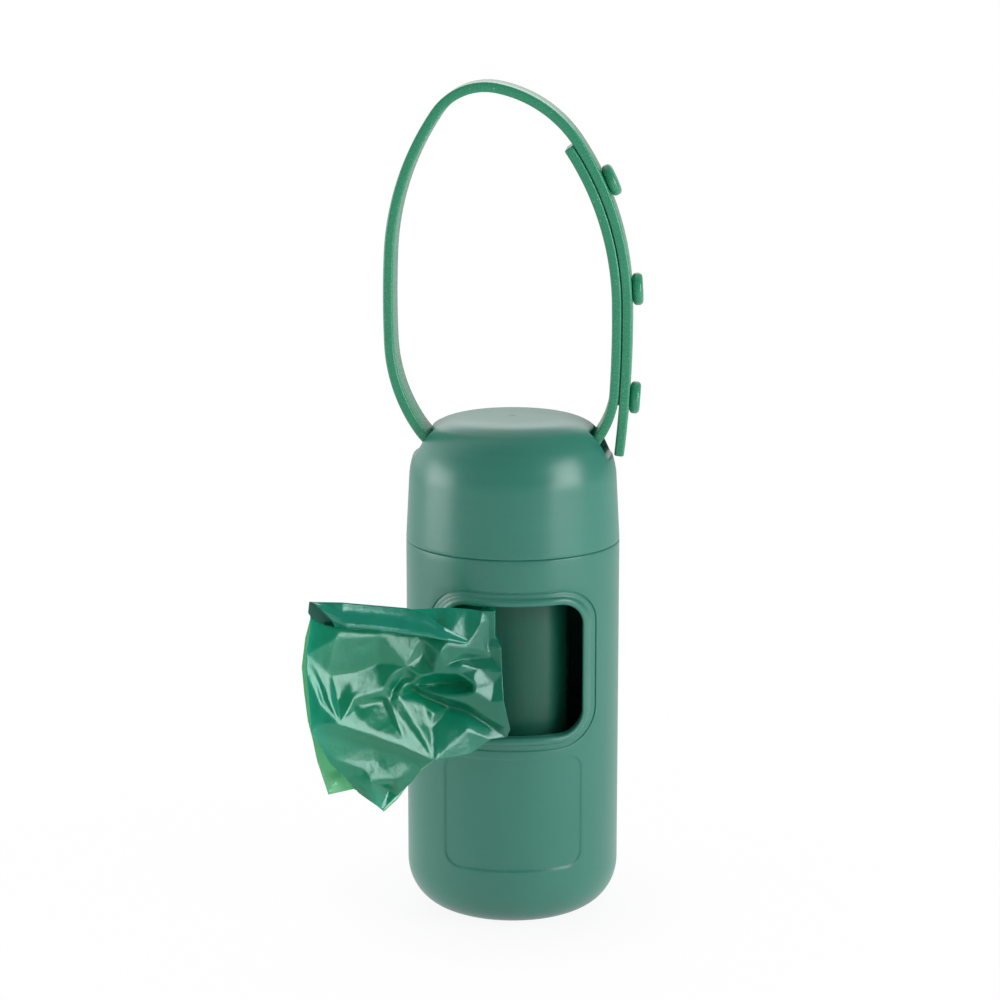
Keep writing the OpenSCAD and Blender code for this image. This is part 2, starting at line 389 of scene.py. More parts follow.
def arc(centre, w, h, a0, a1, steps):
    """Points of an ellipse's arc about centre: centre + (w cos a, h sin a), a in degrees."""
    a = np.radians(np.linspace(a0, a1, steps + 1))
    return np.stack([centre[0] + w * np.cos(a), centre[1] + h * np.sin(a)], -1)


def turned(profile, angles):
    """A profile of (r, z) turned about Z through some angles."""
    r, z = np.asarray(profile, float).T
    return around(r, np.asarray(angles)[:, None], z)


class Outline:
    """A rounded rectangle walked once round from its lower left corner, as a centre and an outward
    direction at each step, so that its edge grown by d is centre + (r + d) * direction."""

    def __init__(self, size, n_w, n_h, n_c):
        self.r = size["r"]
        self.n_w = n_w
        self.n_h = n_h
        self.columns = n_w + n_c
        self.rows = n_h + n_c
        half_size = [size["w"] / 2 - self.r, size["h"] / 2 - self.r]
        corners = np.array([[-1, -1], [1, -1], [1, 1], [-1, 1], [-1, -1]]) * half_size
        half = n_c // 2
        centres, angles = [], []
        for side in range(4):
            steps = n_h if side % 2 else n_w
            begin = 225.0 + 90 * side
            first = np.linspace(begin, begin + 45, half + 1)[:-1]
            last = np.linspace(begin + 45, begin + 90, half + 1)[:-1]
            along = np.linspace(0, 1, steps + 1)[:-1, None]
            centres += [np.repeat(corners[side][None], half, 0)]
            centres += [between(corners[side], corners[side + 1], along)]
            centres += [np.repeat(corners[side + 1][None], half, 0)]
            angles += [first, np.full(steps, begin + 45), last]
        self.centres = np.concatenate(centres)
        turn = np.radians(np.concatenate(angles))
        self.directions = np.stack([np.cos(turn), np.sin(turn)], -1)

    def grown(self, d):
        """The rectangle's edge moved out by d."""
        return self.centres + (self.r + d) * self.directions

    def middle(self):
        """The grid of points inside the corners' centres, whose border is grown(-r)."""
        low, high = self.centres.min(0), self.centres.max(0)
        x = np.linspace(low[0], high[0], self.n_w + 1)
        z = np.linspace(low[1], high[1], self.n_h + 1)
        return np.stack(np.meshgrid(x, z, indexing="ij"), -1)


def border(grid, zone, upside_down=False):
    """The border of a zone (c0, c1, r0, r1) of grid[column, row], walked as an Outline is."""
    c0, c1, r0, r1 = zone
    block = grid[c0:c1 + 1, r0:r1 + 1]
    if upside_down:
        block = block[:, ::-1]
    return np.concatenate([block[:-1, 0], block[-1, :-1], block[:0:-1, -1], block[0, :0:-1]])


def band(rings):
    """The surface through a list of equally long closed rings."""
    return np.stack(rings), quads(len(rings), len(rings[0]), wrap=True)


def rings_between(near, far, facing, count):
    """Rings on the way from near to far, even in angle from facing (x, y), in radius and in height."""
    x, y = facing
    ends = [(np.arctan2(p[:, 1] * x - p[:, 0] * y, p[:, 0] * x + p[:, 1] * y),
             np.hypot(p[:, 0], p[:, 1]), p[:, 2]) for p in (near, far)]
    rings = []
    for share in np.linspace(0, 1, count + 2)[1:-1]:
        a, r, z = (between(*pair, share) for pair in zip(*ends))
        c, s = np.cos(a), np.sin(a)
        rings.append(np.stack([r * (x * c - y * s), r * (y * c + x * s), z], -1))
    return rings


def faces_outside(grid, zones):
    """Quads of a closed grid[column, row] apart from those in the zones (c0, c1, r0, r1)."""
    columns, rows = grid.shape[:2]
    faces = quads(columns + 1, rows)
    column, row = faces[:, 0] // rows, faces[:, 0] % rows
    keep = np.ones(len(faces), bool)
    for c0, c1, r0, r1 in zones:
        keep &= ~((column >= c0) & (column < c1) & (row >= r0) & (row < r1))
    return faces[keep] % (columns * rows)


# ---- body

def on_wall(xz, radius):
    """Points straight through the front of a cylinder: (x, -sqrt(radius^2 - x^2), z)."""
    x, z = xz[..., 0], xz[..., 1]
    return np.stack([x, -np.sqrt(radius ** 2 - x ** 2), z], -1)


def build_body(material):
    """The body is one closed surface of revolution with two square patches left out of its front: one
    for the window, whose rings run over the bead and through the wall, and one for the panel."""
    window = Outline(WINDOW, *PATCH_GRID)
    panel = Outline(PANEL, *PATCH_GRID)
    columns, rows = window.columns, window.rows
    low, split, high = PATCH_Z
    front = np.linspace(-PATCH_HALF, PATCH_HALF, columns + 1)
    back = np.linspace(PATCH_HALF, 2 * np.pi - PATCH_HALF, 72)[1:-1]
    heights = np.concatenate([np.linspace(low, split, rows + 1), np.linspace(split, high, rows + 1)[1:],
                              [WALL_TOP_Z]])
    outer = np.stack([np.full(len(heights), BODY_R), heights], -1)
    inner = np.stack([np.full(len(heights) - 1, BORE_R), heights[-2::-1]], -1)
    foot = (BODY_R - FOOT_W, FOOT_H)
    foot_out = arc(foot, FOOT_W, FOOT_H, -90, 0, 18)
    foot_in = arc(foot, FOOT_W - WALL, FOOT_H - WALL, 0, -90, 14)
    neck_top = SEAM_Z + NECK_H
    profile = np.concatenate([
        [[0, 0], [FLOOR_RING_R + 1, 0]], foot_out, outer,
        arc((BODY_R - SEAM_ROUND, SEAM_Z - SEAM_ROUND), SEAM_ROUND, SEAM_ROUND, 0, 90, 5),
        [[NECK_R + NECK_FILLET, SEAM_Z], [NECK_R, SEAM_Z + NECK_FILLET]],
        arc((NECK_R - NECK_ROUND, neck_top - NECK_ROUND), NECK_ROUND, NECK_ROUND, 0, 90, 4),
        arc((NECK_BORE_R + NECK_FILLET, neck_top - NECK_FILLET), NECK_FILLET, NECK_FILLET, 90, 180, 3),
        [[NECK_BORE_R, NECK_ROOT_Z], [BORE_R, NECK_ROOT_Z - BORE_R + NECK_BORE_R]],
        inner, foot_in, [[FLOOR_RING_R, WALL], [0, WALL]],
    ])
    grid = turned(profile, np.concatenate([front, back]))
    first = 2 + len(foot_out)
    middle = first + rows
    inner_first = len(profile) - 2 - len(foot_in) - len(inner)
    outer_window = (0, columns, middle, middle + rows)
    inner_window = (0, columns, inner_first, inner_first + rows)
    outer_panel = (0, columns, first, middle)
    shell = (grid, faces_outside(grid, [outer_window, inner_window, outer_panel]))

    def rings_on(zone, outline, z, steps):
        """Rings from a zone's border over steps, each (out from the outline, out from the wall)."""
        rings = [on_wall(outline.grown(d) + [0, z], BODY_R + h) for d, h in steps]
        far = border(grid, zone)
        return [far] + rings_between(far, rings[0], FRONT, 2) + rings

    groove = GROOVE_OFFSET + BEAD_W
    groove_steps = [
        (groove + GROOVE_W + 0.12, 0), (groove + GROOVE_W, -0.03),
        (groove + GROOVE_W * 0.75, -GROOVE_DEPTH), (groove + GROOVE_W * 0.25, -GROOVE_DEPTH),
        (groove, -0.03), (groove - 0.12, 0), (BEAD_W + 0.35, 0), (BEAD_W + 0.12, 0.02)]
    bead_steps = [(BEAD_W / 2 + BEAD_W / 2 * math.cos(a), BEAD_H * math.sin(a) ** 0.8)
                  for a in np.radians(np.linspace(8, 172, 15))]
    edge_steps = [(0.0, -0.1), (0.0, -0.6), (0.0, -1.3), (0.03, -1.65), (0.12, -1.83), (0.3, -WALL),
                  (1.2, -WALL)]
    rings = rings_on(outer_window, window, WINDOW["z"], groove_steps + bead_steps + edge_steps)
    far_in = border(grid, inner_window, upside_down=True)
    rings += rings_between(rings[-1], far_in, FRONT, 2) + [far_in]

    panel_steps = [(0.7, 0), (0.2, 0), (0.1, -0.02), (0, -0.07), (-0.16, -0.18), (-0.27, -0.23),
                   (-0.4, -PANEL_DEPTH), (-1.2, -PANEL_DEPTH), (-PANEL["r"], -PANEL_DEPTH)]
    panel_rings = rings_on(outer_panel, panel, PANEL["z"], panel_steps)
    floor = on_wall(panel.middle() + [0, PANEL["z"]], BODY_R - PANEL_DEPTH)
    parts = [shell, band(rings), band(panel_rings), (floor, quads(*floor.shape[:2]))]
    add_piece("body_shell", parts, material, "housing", ["housing"], sharp=50)


def build_thread(material):
    """A low thread on the neck: a ridge carried along the helix z = z0 + pitch * a / 2 pi, which fades
    in and out over its ends."""
    a = np.linspace(0, 2 * np.pi * THREAD_TURNS, 240)[:, None]
    fade = np.clip(np.minimum(a, a[-1] - a) / THREAD_FADE, 0, 1)
    out, up = THREAD_SECTION.T
    r = NECK_R + out * np.where(out > 0, fade, 1)
    points = around(r, a, THREAD_Z + THREAD_PITCH * a / (2 * np.pi) + up)
    parts = [(points, quads(len(a), len(out), wrap=True))]
    parts += [(points[end], [[0, 1, 2, 3], [0, 3, 4, 5]]) for end in (0, -1)]
    add_piece("neck_thread", parts, material, "housing")


# ---- cap

def crown(radius, height):
    """The crown's outline, a superellipse: (radius cos(a)^(2/side), z0 + height sin(a)^(2/top))."""
    a = np.radians(90 * np.linspace(0, 1, FINE_STEPS + 1))
    cos, sin = np.clip(np.cos(a), 0, 1), np.clip(np.sin(a), 0, 1)
    return np.stack([radius * cos ** (2 / CROWN_SIDE), CROWN_Z + height * sin ** (2 / CROWN_TOP)], -1)


class Wall:
    """A wall's outline with its length s, so that at(s) gives (r, z)."""

    def __init__(self, profile):
        self.profile = profile
        self.s = run_length(profile)

    def at(self, s):
        """The outline's (r, z) at lengths s."""
        return np.stack([np.interp(s, self.s, self.profile[:, k]) for k in (0, 1)], -1)

    def where(self, values, level=0.0):
        """The length at which values along the outline first cross a level."""
        i = int(np.argmax((values[:-1] - level) * (values[1:] - level) <= 0))
        share = (level - values[i]) / (values[i + 1] - values[i])
        return self.s[i] + share * (self.s[i + 1] - self.s[i])

    def slot_span(self):
        """Where the slot's floor and its leaning inner face cross this wall."""
        r, z = self.profile.T
        past_face = (r - SLOT_INNER[0]) * math.cos(SLOT_LEAN) - (z - SLOT_INNER[1]) * math.sin(SLOT_LEAN)
        return self.where(z, SLOT_FLOOR_Z), self.where(past_face)

    def points(self, t, s, side):
        """Points at t millimetres across the slot's plane and length s: (side sqrt(r^2 - t^2), t, z)."""
        r, z = self.at(s).T
        return np.stack([side * np.sqrt(r ** 2 - t ** 2), t * side, z], -1)


def with_cap(points):
    """Points turned about Z by CAP_TURN, as the cap and its strap stand."""
    c, s = math.cos(CAP_TURN), math.sin(CAP_TURN)
    x, y, z = np.moveaxis(np.asarray(points), -1, 0)
    return np.stack([c * x + s * y, c * y - s * x, z], -1)


def build_cap(material):
    """The cap is one closed surface of revolution with a patch left out at each slot, outside and
    inside. A slot's rings run from the outer patch over its rounded rim and through the wall."""
    outer = Wall(np.concatenate([
        arc((BODY_R - SKIRT_ROUND, SEAM_Z + SKIRT_ROUND), SKIRT_ROUND, SKIRT_ROUND, -90, 0, 5),
        crown(CAP_R, CAP_TOP_Z - CROWN_Z)]))
    inner = Wall(np.concatenate([
        [[BORE_R, SEAM_Z + 0.2], [BORE_R, SEAM_Z + NECK_H + 1]],
        crown(CAP_BORE_R, CAP_TOP_Z - CROWN_Z - WALL)]))
    walls = (outer, inner)
    shape = Outline(SLOT, *SLOT_GRID)
    rows, columns = shape.rows, shape.columns
    slot = np.linspace(-SLOT_PATCH_HALF, SLOT_PATCH_HALF, columns + 1)
    quarter = np.linspace(SLOT_PATCH_HALF, np.pi - SLOT_PATCH_HALF, 40)[1:-1]
    angles = np.concatenate([side * np.pi + part for side in (0.5, 1.5) for part in (slot, quarter)])

    def lengths(wall, below, above, crown_ring):
        """Lengths of a wall's rows, with those of its patch, and the number of the patch's first row."""
        s0, s1 = wall.slot_span()
        zone = np.linspace(s0 - SLOT_MARGIN, s1 + SLOT_MARGIN, rows + 1)
        start = np.concatenate([np.linspace(0, 0.6, 5), np.linspace(1.2, zone[0], below + 1)[:-1]])
        end = np.linspace(zone[-1], wall.s[-1] - crown_ring, above + 1)[1:]
        return np.concatenate([start, zone, end]), len(start)

    s_out, first_out = lengths(outer, 22, 14, 1.2)
    s_in, first_in = lengths(inner, 14, 12, 0)
    gate_floor = CAP_TOP_Z - GATE_DEPTH
    gate = [[GATE_R + 0.1, CAP_TOP_Z - 0.01], [GATE_R, CAP_TOP_Z - 0.06], [GATE_R - 0.05, gate_floor + 0.03],
            [GATE_R - 0.12, gate_floor], [0, gate_floor]]
    profile = np.concatenate([outer.at(s_out), gate, inner.at(s_in)[::-1], [[BORE_R + 0.2, SEAM_Z]]])
    grid = turned(profile, angles)
    in_first = len(s_out) + len(gate) + len(s_in) - 1 - first_in - rows
    zones, parts = [], []
    for side, c0 in ((1, 0), (-1, columns + 1 + len(quarter))):
        zone_out = (c0, c0 + columns, first_out, first_out + rows)
        zone_in = (c0, c0 + columns, in_first, in_first + rows)
        zones += [zone_out, zone_in]
        far_out, far_in = border(grid, zone_out), border(grid, zone_in, upside_down=True)

        def ring(d, depth):
            """The slot's outline grown by d, at depth 0 on the outer wall to 1 on the inner wall."""
            t, height = shape.grown(d).T
            share = height / SLOT["h"] + 0.5
            ends = [wall.points(t, between(*wall.slot_span(), share), side) for wall in walls]
            return between(*ends, depth)

        steps = SLOT_RIM + [(0, 0.5)] + [(d, 1 - depth) for d, depth in SLOT_RIM[::-1]]
        rings = [ring(d, depth) for d, depth in steps]
        rings = [far_out] + rings_between(far_out, rings[0], (side, 0), 1) + rings
        rings += rings_between(rings[-1], far_in, (side, 0), 1) + [far_in]
        parts.append(band(rings))
    parts.append((grid, faces_outside(grid, zones)))
    parts = [(with_cap(points), faces) for points, faces in parts]
    add_piece("cap_shell", parts, material, "cap", ["cap"], sharp=50)


# ---- strap

def beside(pose, distance):
    """The point at a distance to the right of a pose, such as the centre of an arc to the right."""
    x, z, h = pose
    return x + distance * math.sin(radians(h)), z - distance * math.cos(radians(h))


def after_arc(pose, radius, turn):
    """The pose after an arc to the right."""
    h = pose[2] - turn
    return *beside((*beside(pose, radius), h), -radius), h


def along_arcs(pose, arcs, step=0.6):
    """Poses along arcs, every step millimetres or less, as an array of (x, z, heading)."""
    poses = [pose]
    for radius, turn in arcs:
        count = max(2, math.ceil(radians(turn) * radius / step))
        start = poses[-1]
        poses += [after_arc(start, radius, turn * (i + 1) / count) for i in range(count)]
    return np.array(poses)


def strap_path():
    """The strap's whole centre line: inner layer, under the crown, and the loop to its free end."""
    top = LEFT_SLOT
    for radius, turn in LOOP_ARCS[:INNER_FROM]:
        top = after_arc(top, radius, turn)
    inner = along_arcs((*beside(top, LAYER_STEP), top[2]), INNER_ARCS)
    low = tuple(inner[-1])
    c1, c2 = beside(low, UNDER_R), beside(LEFT_SLOT, UNDER_R)
    heading = math.degrees(math.atan2(c2[1] - c1[1], c2[0] - c1[0])) - 360
    down = along_arcs(low, [(UNDER_R, (low[2] - heading + 720) % 360)])[1:]
    level = (down[-1][0] + c2[0] - c1[0], down[-1][1] + c2[1] - c1[1], heading)
    run = np.linspace(down[-1], level, 40)[1:]
    up = along_arcs(level, [(UNDER_R, (heading - LEFT_SLOT[2] + 720) % 360)])[1:]
    return np.concatenate([inner, down, run, up, along_arcs(LEFT_SLOT, LOOP_ARCS)[1:]])


def along_path(path, length, s):
    """The x, z and heading of a path at lengths s, where length holds those of its own points."""
    return (np.interp(s, length, path[:, k]) for k in range(3))


def build_strap(material):
    """A band with rounded edges carried along the strap's line. Its ends shrink over a quarter round."""
    path = strap_path()
    path[:, 2] = np.degrees(np.unwrap(np.radians(path[:, 2])))
    corner = np.radians(np.linspace(0, 90, 6))
    section = []
    for sx, sy, turn in ((1, 1, 0), (-1, 1, 90), (-1, -1, 180), (1, -1, 270)):
        a = corner + radians(turn)
        section.append(np.stack([sx * (STRAP_T / 2 - STRAP_EDGE) + STRAP_EDGE * np.cos(a),
                                 sy * (STRAP_W / 2 - STRAP_EDGE) + STRAP_EDGE * np.sin(a)], -1))
    section = np.concatenate(section)
    a = np.radians(np.linspace(0, 90, 5))[:-1]
    near_inset, near = STRAP_END * (1 - np.sin(a)), STRAP_END * (1 - np.cos(a))
    length = run_length(path[:, :2])
    whole, rest = length[-1], STRAP_END + 0.1
    middle = length[(length > rest) & (length < whole - rest)]
    inset = np.concatenate([near_inset, np.zeros(len(middle) + 2), near_inset[::-1]])
    s = np.concatenate([near, [STRAP_END], middle, [whole - STRAP_END], whole - near[::-1]])
    x, z, h = (values[:, None] for values in along_path(path, length, s))
    h = np.radians(h)
    shrink = 1 - inset[:, None, None] / np.array([STRAP_T / 2, STRAP_W / 2])
    out, across = np.moveaxis(section * shrink, -1, 0)
    points = with_cap(np.stack([x - out * np.sin(h), across, z + out * np.cos(h)], -1))
    count = len(section)
    parts = [(points, quads(len(s), count, wrap=True))]
    parts += [(points[end], [list(range(count))]) for end in (0, -1)]
    add_piece("strap_band", parts, material, "strap", ["strap"], sharp=60)


def build_studs(material):
    """Moulded studs: a stem through both layers and a pill-shaped head outside."""
    loop = along_arcs(LEFT_SLOT, LOOP_ARCS, 0.2)
    length = run_length(loop[:, :2])
    head = STRAP_T / 2 + 0.05
    top = head + STUD_HEAD_T
    profile = np.concatenate([
        [[0, -LAYER_STEP], [STUD_STEM_R, -LAYER_STEP], [STUD_STEM_R, head - 0.15], [STUD_STEM_R + 0.2, head]],
        arc((STUD_HEAD_R - STUD_RIM, head + STUD_RIM), STUD_RIM, STUD_RIM, -90, 0, 7),
        arc((STUD_HEAD_R - STUD_RIM, top - STUD_RIM), STUD_RIM, STUD_RIM, 0, 90, 7),
        [[STUD_HEAD_R * 0.4, top + 0.02], [0, top + 0.03]],
    ])
    columns = 64
    stud = turned(profile, np.linspace(0, 2 * np.pi, columns, endpoint=False)).transpose(1, 0, 2)
    faces = quads(len(profile), columns, wrap=True)
    px, py, pz = np.moveaxis(stud, -1, 0)
    for i in range(STUDS):
        x, z, h = along_path(loop, length, length[-1] - TAIL - i * STUD_PITCH)
        c, s = math.cos(radians(h)), math.sin(radians(h))
        points = with_cap(np.stack([x + c * px - s * pz, py, z + s * px + c * pz], -1))
        add_piece(f"strap_stud_{i + 1}", [(points, faces)], material, "strap")


# ---- roll

def build_roll(material):
    """Film wound on the core: the radius follows a spiral with one step where the outer turn ends, and
    each end face is a stair of turns that stand out by uneven amounts."""
    random = np.random.default_rng(4)
    a = np.linspace(0, 2 * np.pi, 161)
    lap = 0.16 * (a / (2 * np.pi)) + 0.05 * np.sin(3 * a + 0.5)
    steps = np.linspace(CORE_R + 0.05, ROLL_R - ROLL_RIM, STAIR_TURNS)
    uneven = random.uniform(0, STAIR_H, len(steps))
    stairs = np.stack([np.repeat(steps, 2)[1:], ROLL_Z + 0.1 + np.repeat(uneven, 2)[:-1]], -1)
    rim = arc((ROLL_R - ROLL_RIM, ROLL_Z + 0.3), 0.25, 0.3, -90, 0, 4)
    low = np.concatenate([stairs, rim])
    high = low[::-1] * [1, -1] + [0, 2 * ROLL_Z + ROLL_L]
    wall_z = np.linspace(ROLL_Z + 1, ROLL_Z + ROLL_L - 1, 40)
    wall = np.stack([np.full(len(wall_z), ROLL_R - 0.2), wall_z], -1)
    profile = np.concatenate([low, wall, high, low[:1]])
    r, z = (column[:, None] for column in profile.T)
    r = r - np.where(r > CORE_R + 0.6, lap - 0.05, 0)
    points = around(r, a, z) + [ROLL_X, 0, 0]
    points = np.concatenate([points, points[:, :1]], 1)
    add_piece("bag_roll_film", [(points, quads(len(profile), len(a) + 1))], material, "roll",
              ["bag_roll"], sharp=35)


# ---- pulled bag

# The pulled bag hangs in a plane that leans towards the front as it goes left. A node of it is
# (s, z, depth): s along the plane from the axis, z its height, depth towards the front.
BAG_LEAN = radians(14)
BAG_Y = 21.2
DEPTH_WAY = np.array([0, -0.97, 0.26])
# Its bend: forwards with the square of the way past BEND_S, and forwards below PIVOT_Z at its left
BEND_S = -6
BEND = 0.0048
PIVOT_Z = 52
PIVOT = 0.17
# The two nodes at which most creases meet: the foot of the V at the left, and one on the lower hem
V_FOOT = (-33.3, 44.8, 2.3)
HEM = (-15.7, 36.5, 1.6)
BAG_LEFT = [(-39.1, 68.9, -0.6), (-39, 63.8, 0.3), (-39.7, 58.9, 0.7), (-39.6, 54.7, 0.9), (-39.1, 50, 1.3),
            (-38.7, 44.2, 1.6), (-35.3, 37.5, 0.9), (-32.7, 34.8, 0.8), (-29.9, 31.2, 0.2),
            (-26.4, 28.4, 0.6), (-25.5, 27.5, 0.4)]
BAG_TOP = [BAG_LEFT[0], (-29.5, 67.8, 0), (-20.7, 66.4, 0.3), (-13.1, 66.3, 0.9), (-9.5, 65.9, 0.65),
           (-6, 65.2, 0.4), (-3.7, 65, 0.25)]
BAG_RIGHT = [BAG_TOP[-1], (-3.6, 59.8, 0.3), (-2.4, 57.5, 0.9), (-2.2, 52.9, 1.1), (-1.9, 47.2, 1.8),
             (-0.6, 41.4, 1)]
BAG_END = BAG_RIGHT[-1]
BAG_BOTTOM = [BAG_LEFT[-1], (-22.6, 30.2, 0.2), (-19.9, 32.5, 0.6), (-17.9, 35.1, 0.8), HEM,
              (-8.4, 37.2, 1.2), (-4.3, 39.8, 0.4), (-1.3, 39.9, 0), BAG_END]
# Creases inside the sheet: the ridges and valleys between its flat facets.
BAG_CREASES = [
    # the V at the left: two bright facets, a valley between them and a facet that faces up
    [(-39.2, 54.6, 1.05), (-37, 49.4, 1.75), V_FOOT],
    [(-38.2, 54.8, 0.85), (-36.2, 49.6, 1.3), V_FOOT],
    [(-37.6, 55.1, 0.95), (-35.6, 49.7, 1.75), V_FOOT],
    [(-35.6, 54.8, 0.85), (-34.6, 49.6, 1.65), V_FOOT],
    [(-34.9, 54.4, 0.7), (-34.1, 49.5, 1), V_FOOT],
    [(-34.9, 54.4, 0.7), (-31.6, 53, 0.8), (-31.2, 50.9, 1.1), (-31.1, 48.6, 1.75), V_FOOT],
    [(-30.6, 48, 1.35), (-29.3, 45.2, 1.8), V_FOOT],
    [(-30.6, 48, 1.35), V_FOOT],
    # the long lower ridge, the facet above it and the broad one beside that
    [V_FOOT, (-27.6, 42.3, 2.1), (-21.4, 39.5, 1.9), HEM],
    [V_FOOT, (-29.3, 45.2, 1.8), (-27.3, 43.5, 1.85), (-21.3, 40.8, 1.65), HEM],
    [(-33.5, 43, 1.5), (-27.2, 40.4, 1.1), (-21, 37.9, 1.1), HEM],
    [(-30.2, 48.3, 0.9), (-25.2, 48.9, 0), (-23.4, 44.3, 0.95), (-21.3, 40.8, 1.65)],
    [(-30.4, 49.9, 1.3), (-24.8, 49.9, 0.8), (-22.7, 44.4, 1.3), (-20, 40.4, 1.5), HEM],
    [(-24, 48.6, 0.7), (-21.6, 44.6, 0.95), (-18.2, 40.4, 1.2), HEM],
    [(-22.3, 49.4, 0.65), (-19.6, 44.8, 1), (-16.8, 40, 1.35), HEM],
    [(-19.4, 50.6, -1.2), (-17.8, 48.2, -0.1), (-16, 42.7, 0.5), HEM],
    # the long diagonal crease: its upper side laps over its lower side
    [(-19.8, 51.9, 0.6), (-17.6, 50.5, 1.3), (-13.4, 48.6, 1.6), (-9.4, 47.1, 1.4), (-5.4, 44.3, 1.1),
     BAG_END],
    [(-19.4, 50.6, -1.2), (-16.9, 49.1, -1.2), (-12.5, 47, -1.3), (-8.8, 45.7, -0.6), (-5.1, 43, -0.4),
     BAG_BOTTOM[-2]],
    [(-8.8, 45.7, -0.6), (-9, 42.2, 1), HEM],
    [(-16.9, 49.1, -1.2), (-15.4, 45.6, 0.3), (-16, 42.7, 0.5)],
    [(-9, 42.2, 1), (-4.3, 39.8, 0.4)],
    # the pocket above it, and the star beside the pocket
    [(-19.8, 51.9, 0.6), (-18, 53.2, 1.3), (-15.3, 53.6, 1.5), (-11, 53.2, 1.6), (-8, 51.1, 1.9),
     (-7.9, 49.4, 2), (-13.4, 49.2, 1.5)],
    [(-17.1, 51.3, -0.9), (-14.3, 51.7, -1.1), (-10.4, 51.2, -1), (-8.5, 50, -0.5)],
    [(-8, 51.1, 1.9), (-6.7, 53.9, 1.25), (-2.2, 52.9, 1.1)],
    [(-7.9, 49.4, 2), (-4.4, 47.1, 1.65), BAG_END],
    [(-6.7, 53.9, 1.25), (-3.7, 50.8, 1), (-4.4, 47.1, 1.65)],
    # the streak above them
    [(-6.2, 63, 0.7), (-5.6, 58, 0.6)],
    [(-4.8, 63, 0.2), (-5, 58.5, 0.1)],
    # the small facets under the flap
    [(-13.4, 59.1, 2), (-14.3, 57.5, 2.3), (-13, 55.1, 1.6), (-11, 53.2, 1.6)],
    [(-13.4, 59.1, 2), (-9.4, 58.1, 1.4), (-4.3, 55.9, 0.2), (-2.4, 57.5, 0.9)],
    [(-13, 55.1, 1.6), (-9.6, 55.9, 0.5), (-4.3, 55.9, 0.2)],
    [(-9.9, 55.2, 1.7), (-6.7, 53.9, 1.25)],
    # the curl round the gathered centre
    [(-24.8, 49.9, 0.8), (-25.1, 51.3, 0.8), (-23.4, 54, 1.2), (-20.9, 55.2, 1), (-18, 53.2, 1.3)],
    [(-23.5, 49.9, 0.2), (-23.2, 51.1, -0.2), (-21.6, 53.1, 0), (-19.9, 53.2, 0.2)],
    [(-23.5, 49.9, 0.2), (-21.7, 51.1, 1), (-19.3, 51, -1.4)],
    # the broad upper facets
    [(-34, 62, 1.3), (-31.1, 54.6, 0.45)],
    [(-26, 61.7, 1.1), (-26.4, 56, 0.25), (-23.4, 54, 1.2)],
    [(-17.8, 60.8, 0.8), (-17.5, 57.4, 0.4), (-20.9, 55.2, 1)],
    [(-17.8, 60.8, 0.8), (-14.3, 57.5, 2.3)],
    # the lower folds and the tip
    [(-38.7, 44.2, 1.6), (-34.8, 38.5, 1.2), (-27, 37.1, 1), (-19.4, 36.3, 1), HEM],
    [(-32.7, 34.8, 0.8), (-28.9, 35.7, 1.2), (-27, 37.1, 1)],
    [(-29, 31.8, 1.2), (-27.5, 33.1, 1.5), (-22.7, 33.3, 1.2), (-17.9, 35.1, 0.8)],
    [(-27.5, 33.1, 1.5), (-24.4, 31.4, -0.3), (-22.6, 30.2, 0.2)],
]
# The flap: a flattened tube along the top, open at its left end. Its rim is one closed ring, and then
# come its sections, each (s and z of its top), (s and z of its foot), middle depth and half thickness.
FLAP_RIM = [(-39.1, 68.9, 1.6), (-38.1, 68.5, 2.8), (-36.4, 67, 3.5), (-34.9, 65.2, 3.4), (-34.3, 63.8, 2.6),
            (-36.4, 64.3, 1.1), (-38.4, 65.4, 0.6), (-39.4, 66.8, 0.3)]
# The way out of its open end, across the line of its front rim, how far along it that line is, and
# over how long the shade painted inside the open end fades in.
MOUTH_AWAY = (-0.795, 0, -0.607)
MOUTH_AT = -13
MOUTH_FADE = 0.6
FLAP_SECTIONS = [
    ((-33, 68.4), (-32, 63.3), 2.9, 1.4),
    ((-27.5, 67.6), (-27, 62.6), 3.1, 1.4),
    ((-20.7, 66.6), (-20.5, 61.3), 3.3, 1.3),
    ((-17.6, 65.4), (-16.6, 60.5), 3.7, 1.1),
    ((-13.7, 62.7), (-12.6, 59.6), 4.2, 0.8),
    ((-9.1, 59.9), (-8.9, 58.9), 3.6, 0.3),
]
# The layer behind: one film thick, it shows past the front's left edge and below it.
BACK_LEFT = [(-38.6, 68, -1.6), (-40.1, 62, -1.2), (-40.7, 56.5, -0.6), (-40.2, 51, -0.6), (-39.6, 46, -0.8),
             (-38.6, 41.6, -1.2), (-37.9, 38.1, -0.8), (-36.9, 34.8, -1.2), (-35.8, 31.4, -0.8)]
BACK_BOTTOM = [BACK_LEFT[-1], (-31.1, 32, -1.6), (-28.4, 30.4, -1.1), (-25.3, 27.1, -0.6),
               (-22.6, 29.4, -1.2), (-19, 34, -2.4), (-15, 36.6, -2.8), (-12.5, 40.5, -3)]
BACK_TOP = [BACK_LEFT[0], (-30, 67, -2), (-20, 65.6, -2.6), (-12.5, 65, -3)]
BACK_RIGHT = [BACK_TOP[-1], (-12.5, 58, -3.2), (-12.5, 50, -3.6), (-12.5, 45, -3.2), BACK_BOTTOM[-1]]
